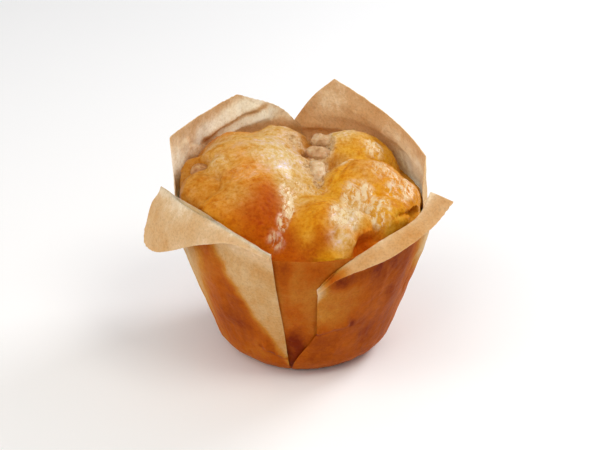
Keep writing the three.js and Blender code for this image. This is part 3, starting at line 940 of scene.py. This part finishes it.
def muffinDistance(points):
    height = points[..., 2]
    inset = muffin["inset"] * (1 + 2 * (1 - smoothStep(42, 52, height)))
    angle = np.degrees(np.arctan2(points[..., 0], -points[..., 1]))
    wall = np.hypot(points[..., 0], points[..., 1]) - (pressedRadius(angle, np.maximum(height, 0)) - inset)
    body = np.maximum(np.maximum(wall, muffin["floor"] - height), height - muffin["shoulder"])
    distance = softMin(body, ellipsoidDistance(points, *muffin["core"]), muffin["coreBlend"])
    for centre, size, blend in lobes:
        distance = softMin(distance, ellipsoidDistance(points, centre, size), blend)
    for centre, size, blend in hollows:
        distance = -softMin(-distance, ellipsoidDistance(points, centre, size), blend)
    inside = -softMin(-distance, -wall, muffin["rimBlend"])
    return np.maximum(inside, muffin["floor"] - height)


def muffinGrid():
    corner = -math.atan2(muffin["eyeHeight"] - muffin["floor"], wallRadius(np.array(muffin["floor"])))
    shoulder = math.atan2(muffin["bodyTop"] - muffin["eyeHeight"], wrapper["shoulderRadius"])
    tilts = np.concatenate([
        np.linspace(corner, shoulder, muffin["bodyRows"], endpoint=False),
        np.linspace(shoulder, math.pi / 2, muffin["domeRows"], endpoint=False),
    ])[:, None]
    turns = np.linspace(0, 2 * math.pi, muffin["columns"], endpoint=False)[None, :]
    flat = np.cos(tilts)
    rays = np.stack([np.sin(turns) * flat, -np.cos(turns) * flat, np.sin(tilts) + 0 * turns], -1)
    eye = np.array([0, 0, muffin["eyeHeight"]])
    travel = np.full(rays.shape[:2], float(muffin["reach"]))
    for _ in range(muffin["searchSteps"]):
        travel -= np.clip(muffinDistance(eye + rays * travel[..., None]) * 0.6, -1, 1)
    return eye + rays * travel[..., None], np.degrees(turns) + 0 * tilts


def tornShare(points):
    share = np.zeros(points.shape[:-1])
    for place, reach, amount in crater:
        share = np.maximum(share, amount * nearness(points, place, reach))
    share = smoothStep(0.26, 0.6, share + 0.12 * noiseAt(points, 1.8, 2, 12.4))
    for place, reach in craterHoles:
        share = share * (1 - smoothStep(0.25, 0.6, nearness(points, place, reach)))
    return share


def makeMuffin():
    points, turn = muffinGrid()
    dome = smoothStep(*muffin["domeFrom"], points[..., 2])
    radial = np.hypot(points[..., 0], points[..., 1])
    torn = tornShare(points) * dome

    wet = np.zeros(points.shape[:2])
    runs = np.stack([np.radians(turn) * 36 / 1.25, radial / 5.0, points[..., 2] / 6.0], -1)
    ridges = 1 - 2 * np.abs(noiseAt(runs, 1, shift=4.2))
    bends = noiseAt(points, 2.6, 2, 9.7)
    for place, reach, depth in wrinkles:
        wet = np.maximum(wet, depth * smoothStep(0.15, 0.75, nearness(points, place, reach)))
    relief = wet * (0.8 * ridges + 0.6 * bends)
    for height, size, octaves, shift in reliefLayers:
        relief += height * noiseAt(points, size, octaves, shift)
    crumble = noiseAt(points, 2.4, 3, 7.7) - 0.6 * np.abs(noiseAt(points, 1.1, 2, 3.3))
    relief += torn * muffin["crumble"] * crumble
    for path, width, depth in cracks:
        gap = nearPath(points, path)[0] + 0.35 * bends
        relief -= depth * np.exp(-(gap / width)**2)
    normal = gridNormals(points, wrap=True)
    points = points + normal * (relief * dome)[..., None]

    # the tone of the crust: a mean of the tones near by, weighted by nearness, and paler on the ridges of
    # the dried runs, partly dried glaze and partly painted highlight streaks
    total = np.full(points.shape[:2], muffin["plainTone"])
    colour = np.zeros(points.shape) + np.array(linearColour(tones["gold"])) * muffin["plainTone"]
    for index, (place, reach, tone, amount) in enumerate(toneSpots):
        ragged = 1 + 0.4 * noiseAt(points, 4, 2, 0.7 * index)
        weight = amount * nearness(points, place, (reach,) * 3) ** ragged
        total += weight
        colour += weight[..., None] * np.array(linearColour(tones[tone]))
    colour /= total[..., None]
    shine = wet / muffin["wetDepth"]
    pale = (muffin["paleShare"] * shine * smoothStep(0.45, 0.75, 0.8 * ridges + 0.6 * bends))[..., None]
    colour = colour * (1 - pale) + np.array(linearColour(tones["dried"])) * pale

    vertices = np.concatenate([points.reshape(-1, 3), [points[-1].mean(0), (0, 0, muffin["floor"])]])
    attributes = {
        "tone": np.concatenate([colour.reshape(-1, 3), colour[-1, :1], colour[0, :1]]),
        "torn": np.append(torn.ravel(), (torn[-1, 0], 0)),
        "wet": np.append(shine.ravel(), (0, 0)),
    }
    return meshObject("muffinBody", vertices, closedFaces(*points.shape[:2]), attributes)


crumbs = {
    "perSquareMetre": 0.7e6,
    "radius": 0.55,
    "unevenness": 0.4,
    "smallest": 0.4,
    "flatness": 0.4,
    "seed": 7,
}


def makeCrumbs(body, crust):
    # loose crumbs on the torn crater, spread over the faces of the muffin where its crust is torn
    tree = bpy.data.node_groups.new("crumbs", "GeometryNodeTree")
    interface = tree.interface
    interface.new_socket("Geometry", in_out="INPUT", socket_type="NodeSocketGeometry")
    interface.new_socket("Geometry", in_out="OUTPUT", socket_type="NodeSocketGeometry")
    values = {
        "density": ("NodeSocketFloat", crumbs["perSquareMetre"]),
        "radius": ("NodeSocketFloat", crumbs["radius"] * mm),
        "unevenness": ("NodeSocketFloat", crumbs["unevenness"] * mm),
        "smallest": ("NodeSocketFloat", crumbs["smallest"]),
        "flatness": ("NodeSocketFloat", crumbs["flatness"]),
        "seed": ("NodeSocketInt", crumbs["seed"]),
        "material": ("NodeSocketMaterial", crust),
    }
    sockets = {
        name: interface.new_socket(name, in_out="INPUT", socket_type=kind).identifier
        for name, (kind, value) in values.items()
    }
    given = addNode(tree, "NodeGroupInput").outputs
    torn = addNode(tree, "GeometryNodeInputNamedAttribute", {"data_type": "FLOAT", "Name": "torn"})
    wanted = compute(tree, "MULTIPLY", torn.outputs["Attribute"], given["density"])
    spread = addNode(tree, "GeometryNodeDistributePointsOnFaces", {"distribute_method": "RANDOM"}, {
        "Mesh": given["Geometry"], "Density": wanted, "Seed": given["seed"]})
    ball = addNode(tree, "GeometryNodeMeshIcoSphere", {"Subdivisions": 2}, {"Radius": given["radius"]})
    lumps = addNode(tree, "ShaderNodeTexNoise", {"Scale": 1600, "Detail": 1})
    centred = addNode(tree, "ShaderNodeVectorMath", {"operation": "SUBTRACT", 1: (0.5, 0.5, 0.5)},
                      {0: lumps.outputs["Color"]})
    shift = addNode(tree, "ShaderNodeVectorMath", {"operation": "SCALE"},
                    {0: centred.outputs["Vector"], "Scale": given["unevenness"]})
    grain = addNode(tree, "GeometryNodeSetPosition", None,
                    {"Geometry": ball.outputs["Mesh"], "Offset": shift.outputs["Vector"]})
    size = addNode(tree, "FunctionNodeRandomValue", {"data_type": "FLOAT", 3: 1.0},
                   {2: given["smallest"], "Seed": given["seed"]})
    flat = addNode(tree, "ShaderNodeCombineXYZ", {"X": 1.0, "Y": 1.0}, {"Z": given["flatness"]})
    scale = addNode(tree, "ShaderNodeVectorMath", {"operation": "SCALE"},
                    {0: flat.outputs["Vector"], "Scale": size.outputs[1]})
    placed = addNode(tree, "GeometryNodeInstanceOnPoints", None, {
        "Points": spread.outputs["Points"], "Instance": grain.outputs["Geometry"],
        "Rotation": spread.outputs["Rotation"], "Scale": scale.outputs["Vector"]})
    real = addNode(tree, "GeometryNodeRealizeInstances", None, {"Geometry": placed.outputs["Instances"]})
    smooth = addNode(tree, "GeometryNodeSetShadeSmooth", None, {"Geometry": real.outputs["Geometry"]})
    dressed = addNode(tree, "GeometryNodeSetMaterial", None,
                      {"Geometry": smooth.outputs["Geometry"], "Material": given["material"]})
    addNode(tree, "NodeGroupOutput", None, {"Geometry": dressed.outputs["Geometry"]})

    source = bpy.data.objects.new("crumbSource", body.data)
    scene.collection.objects.link(source)
    modifier = source.modifiers.new("crumbs", "NODES")
    modifier.node_group = tree
    for name, (kind, value) in values.items():
        modifier[sockets[name]] = value
    evaluated = source.evaluated_get(bpy.context.evaluated_depsgraph_get())
    mesh = bpy.data.meshes.new_from_object(evaluated)
    bpy.data.objects.remove(source)
    mesh.polygons.foreach_set("material_index", [0] * len(mesh.polygons))
    mesh.materials.clear()
    mesh.materials.append(crust)
    result = bpy.data.objects.new("crumbs", mesh)
    scene.collection.objects.link(result)
    return result


muffinBody = makeMuffin()
print("muffin made:", len(muffinBody.data.polygons), "faces")


# fruit: moist lumps that show in the crater and at the left edge

# as (centre, size, turns, share of syrup)
fruit = {
    "fruit_chunk_front": ((4.6, 3.0, 58.5), (3.6, 6.2, 4.2), (8, 0, 4), 0.0),
    "fruit_chunk_middle": ((6.2, 13.9, 60), (5.4, 3.3, 4.2), (12, 12, -16), 0.4),
    "fruit_chunk_back": ((7.1, 20.9, 62.3), (4.2, 2.6, 3.3), (14, 0, -8), 0.2),
    "fruit_chunk_left": ((-33.2, 0.8, 60.4), (3.6, 4.0, 3.2), (0, 0, 20), 0.75),
}
fruitShape = {"squareness": 2.6, "columns": 96, "rows": 60, "lumps": 0.7, "fibres": 0.25}


def makeFruit(name, centre, size, angles, soaked, shift):
    rows, columns = fruitShape["rows"], fruitShape["columns"]
    tilts = np.linspace(-math.pi / 2, math.pi / 2, rows + 2)[1:-1, None]
    turns = np.linspace(0, 2 * math.pi, columns, endpoint=False)[None, :]
    flat = np.cos(tilts)
    ball = np.stack([np.cos(turns) * flat, np.sin(turns) * flat, np.sin(tilts) + 0 * turns], -1)
    power = fruitShape["squareness"]
    ball /= (np.abs(ball)**power).sum(-1, keepdims=True) ** (1 / power)
    points = ball * np.array(size, float)
    lumps = noiseAt(points, 4.2, 2, shift) * fruitShape["lumps"]
    lumps += noiseAt(points, 1.3, 3, shift) * fruitShape["fibres"]
    points = points + gridNormals(points, wrap=True) * lumps[..., None]
    turned = np.array(Euler([math.radians(angle) for angle in angles]).to_matrix())
    points = points @ turned.T + np.array(centre, float)
    vertices = np.concatenate([points.reshape(-1, 3), [points[-1].mean(0), points[0].mean(0)]])
    attributes = {"soaked": np.full(len(vertices), soaked)}
    return meshObject(name.replace("_chunk", ""), vertices, closedFaces(rows, columns), attributes)


fruitPieces = {name: makeFruit(name, *piece, 3.0 * i) for i, (name, piece) in enumerate(fruit.items())}
print("fruit made:", ", ".join(fruitPieces))


# materials

def crustMaterial():
    # baked egg-washed batter: uneven gold to caramel, satin, with a thin glossy glaze on top
    material, tree, shader = newMaterial("glazedCrust", {
        "IOR": 1.45, "Specular IOR Level": 0.05, "Coat Roughness": 0.14, "Coat IOR": 1.45,
        "Subsurface Weight": 0.05, "Subsurface Scale": 0.001, "Subsurface Radius": (1.0, 0.6, 0.3),
    })
    place = objectPlace(tree)
    torn, wet = stored(tree, "torn"), stored(tree, "wet")
    mottle = noiseValue(tree, place, 260, 4, 0.6)
    scorch = noiseValue(tree, place, 340, 4, 0.6, 0.4)
    blotch = noiseValue(tree, place, 900, 3, 0.65)
    grain = noiseValue(tree, place, 2200, 2)
    flaked = noiseValue(tree, stretched(tree, place, (1.0, 0.45, 0.45)), 640, 4, 0.7, 0.5)

    colour = stored(tree, "tone", "Color")
    for source, stops in (
        (mottle, [(0.32, (0.86, 0.68, 0.28)), (0.5, (1, 1, 1)), (0.68, (1.0, 1.06, 1.7))]),
        (blotch, [(0.32, (0.86, 0.74, 0.42)), (0.5, (1, 1, 1)), (0.68, (1.08, 1.16, 1.8))]),
        (scorch, [(0.52, (1, 1, 1)), (0.6, (0.96, 0.88, 0.7)), (0.7, (0.86, 0.7, 0.5))]),
    ):
        colour = mixColour(tree, "MULTIPLY", 1.0, colour, colourRamp(tree, source, stops))
    # flakes of glaze that dried white, with sharp edges, where the runs are wet: partly dried glaze, partly
    # painted glints of the glaze
    flakeAndGlintArea = remap(tree, wet, 0.25, 0.8, 0.0, 0.85)
    flakesAndGlints = compute(tree, "MULTIPLY", remap(tree, flaked, 0.47, 0.55), flakeAndGlintArea)
    colour = mixColour(tree, "MIX", flakesAndGlints, colour, linearColour(tones["dried"]))
    crumb = colourRamp(tree, blotch, [(0.3, "#B07E46"), (0.5, "#D0AC7E"), (0.7, "#DCC29C")])
    tree.links.new(mixColour(tree, "MIX", torn, colour, crumb), shader.inputs["Base Color"])

    # the glaze is glossy, the torn crumb is matt
    rough = mixValue(tree, torn, remap(tree, blotch, 0.35, 0.65, 0.34, 0.52), 0.75)
    tree.links.new(rough, shader.inputs["Roughness"])
    coat = mixValue(tree, torn, remap(tree, wet, 0.0, 1.0, 0.0, 0.5), 0.0)
    tree.links.new(coat, shader.inputs["Coat Weight"])
    height = compute(tree, "MULTIPLY_ADD", grain, 0.35, blotch)
    tree.links.new(bumped(tree, height, 0.6, 0.0007), shader.inputs["Normal"])
    return material


def paperMaterial():
    # unbleached greaseproof baking paper: matt and pale brown, darker and redder where fat has soaked in;
    # its share also carries painted highlights, sheen and crease shade
    material, tree, shader = newMaterial("bakingPaper", {
        "IOR": 1.48, "Specular IOR Level": 0.05,
        "Subsurface Weight": 0.6, "Subsurface Scale": 0.0006, "Subsurface Radius": (1.0, 0.95, 0.9),
    })
    place = objectPlace(tree)
    cloud = noiseValue(tree, stretched(tree, place, (1, 1, 0.6)), 110, 4, 0.6)
    fibre = noiseValue(tree, place, 1400, 3, 0.7)
    speck = noiseValue(tree, place, 520, 3, 0.65)
    crinkle = noiseValue(tree, place, 95, 3, 0.5, 0.3)

    clouded = remap(tree, compute(tree, "MULTIPLY_ADD", speck, 0.6, cloud), 0.5, 1.1, -0.1, 0.1)
    # the share holds grease and painted light: below 0 it paints highlights and sheen, along creases it
    # paints shade
    soaked = compute(tree, "ADD", remap(tree, stored(tree, "greaseAndPaintedLight"), wrapper["palestShare"], 1.0), clouded)
    base = colourRamp(tree, soaked, [
        (0.0, "#FCEFDA"), (0.23, "#D4B48C"), (0.42, "#C89C66"),
        (0.61, "#BD7A2A"), (0.81, "#AC5408"), (1.0, "#762400"),
    ])
    fine = colourRamp(tree, fibre, [(0.25, (0.74, 0.7, 0.64)), (0.5, (1, 1, 1)), (0.75, (1.1, 1.1, 1.12))])
    tree.links.new(mixColour(tree, "MULTIPLY", 0.8, base, fine), shader.inputs["Base Color"])
    tree.links.new(remap(tree, soaked, 0.2, 1.0, 0.7, 0.46), shader.inputs["Roughness"])

    # crinkles of the sheet, then its fibres
    ridge = compute(tree, "ABSOLUTE", compute(tree, "SUBTRACT", crinkle, 0.5))
    creased = bumped(tree, ridge, 0.5, 0.0025)
    tree.links.new(bumped(tree, fibre, 0.3, 0.0002, creased), shader.inputs["Normal"])
    return material


def fruitMaterial():
    # stewed fruit: pale, pinkish tan and moist, with soft fibres
    material, tree, shader = newMaterial("stewedFruit", {
        "Roughness": 0.45, "IOR": 1.4, "Coat Weight": 0.12, "Coat Roughness": 0.25,
        "Subsurface Weight": 0.25, "Subsurface Scale": 0.002, "Subsurface Radius": (1.0, 0.6, 0.35),
    })
    patch = noiseValue(tree, objectPlace(tree), 420, 4, 0.6)
    dry = colourRamp(tree, patch, [(0.3, "#B88A56"), (0.48, "#CCAA80"), (0.68, "#D8C2A0")])
    syrup = colourRamp(tree, patch, [(0.3, "#804410"), (0.5, "#A8661E"), (0.7, "#C08C4C")])
    colour = mixColour(tree, "MIX", stored(tree, "soaked"), dry, syrup)
    tree.links.new(colour, shader.inputs["Base Color"])
    tree.links.new(bumped(tree, patch, 0.4, 0.0004), shader.inputs["Normal"])
    return material


crust, paper, flesh = crustMaterial(), paperMaterial(), fruitMaterial()
muffinBody.data.materials.append(crust)
paperWrapper.data.materials.append(paper)
for piece in fruitPieces.values():
    piece.data.materials.append(flesh)
looseCrumbs = makeCrumbs(muffinBody, crust)
print("materials made, with", len(looseCrumbs.data.polygons), "faces of crumbs")


# frame

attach(muffinBody, "root")
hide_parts("muffin")
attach(looseCrumbs, "root")
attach(paperWrapper, "root")
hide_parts("paper_case")
for name, piece in fruitPieces.items():
    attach(piece, "root")
    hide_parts(name)


# floor and lights

studio = {
    "floor": "#F8FAFF",
    "floorReach": 3,                    # metres
    "aim": (0, 0, 45),
    "world": (1.0, 0.99, 0.97, 0.42),   # red, green, blue and strength
    "lights": [   # name, place, size, power and colour
        ("key", (476, 343, 440), 260, 2.3, "#FFFFFF"),
        ("fill", (-480, -400, 470), 800, 3.0, "#FFF9EE"),
        ("side", (310, -220, 660), 300, 1.5, "#FFF7E8"),
        ("top", (-130, -170, 700), 200, 0.3, "#FFF7E8"),
        ("glint", (640, -160, 260), 120, 0.1, "#FFF7E8"),
    ],
}


def makeStudio():
    mesh = bpy.data.meshes.new("floor")
    reach = studio["floorReach"]
    corners = [(x * reach, y * reach, 0) for x, y in ((-1, -1), (1, -1), (1, 1), (-1, 1))]
    mesh.from_pydata(corners, [], [(0, 1, 2, 3)])
    floor = bpy.data.objects.new("floor", mesh)
    scene.collection.objects.link(floor)
    material = newMaterial("paleFloor", {
        "Base Color": (*linearColour(studio["floor"]), 1), "Roughness": 0.8, "Specular IOR Level": 0.2,
    })[0]
    mesh.materials.append(material)

    world = bpy.data.worlds.new("studio")
    world.use_nodes = True
    background = world.node_tree.nodes["Background"]
    background.inputs["Color"].default_value = (*studio["world"][:3], 1)
    background.inputs["Strength"].default_value = studio["world"][3]
    scene.world = world

    for name, place, size, power, colour in studio["lights"]:
        lamp = bpy.data.lights.new(name, "AREA")
        lamp.size = size * mm
        lamp.energy = power
        lamp.color = linearColour(colour)
        light = bpy.data.objects.new(name, lamp)
        light.location = Vector(place) * mm
        aim = Vector(studio["aim"]) - Vector(place)
        light.rotation_euler = aim.to_track_quat("-Z", "Y").to_euler()
        scene.collection.objects.link(light)
    scene.view_settings.view_transform = "Standard"


makeStudio()
print("studio made")
